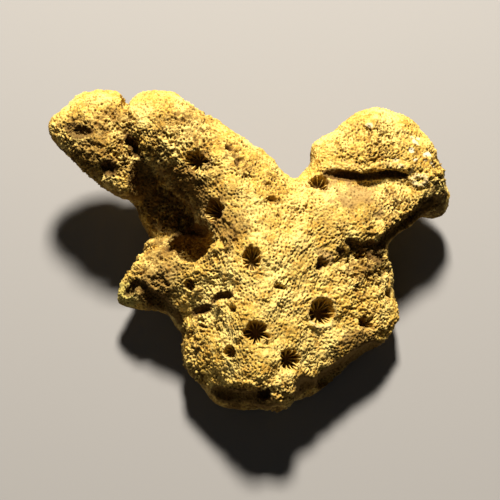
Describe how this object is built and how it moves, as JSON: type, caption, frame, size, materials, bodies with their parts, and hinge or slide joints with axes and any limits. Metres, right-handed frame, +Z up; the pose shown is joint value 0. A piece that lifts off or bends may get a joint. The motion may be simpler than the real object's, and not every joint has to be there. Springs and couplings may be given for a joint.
{
  "type": "fossil bryozoan",
  "caption": "Stout branching fossil bryozoan that lies on a flat broken base, with two thick arms, a side stub and ribbed coral cups sunk into its granular skin.",
  "frame": {"origin": "a point on the flat broken base, under the trunk, at the height of the surface that the fossil rests on", "axes": "+X towards the right arm's broken end, +Y towards the tips of both arms, +Z up from the base to the side with the coral cups"},
  "size_m": [0.0522, 0.0398, 0.018],
  "materials": {
    "trunk": "dry, matt, granular ochre limestone",
    "left_branch": "dry, matt, granular ochre limestone",
    "right_branch": "dry, matt, granular ochre limestone",
    "side_stub": "dry, matt, granular ochre limestone"
  },
  "bodies": {
    "root": {"trunk": "trunk", "left_branch": "left_branch", "right_branch": "right_branch", "side_stub": "side_stub"}
  },
  "joints": []
}
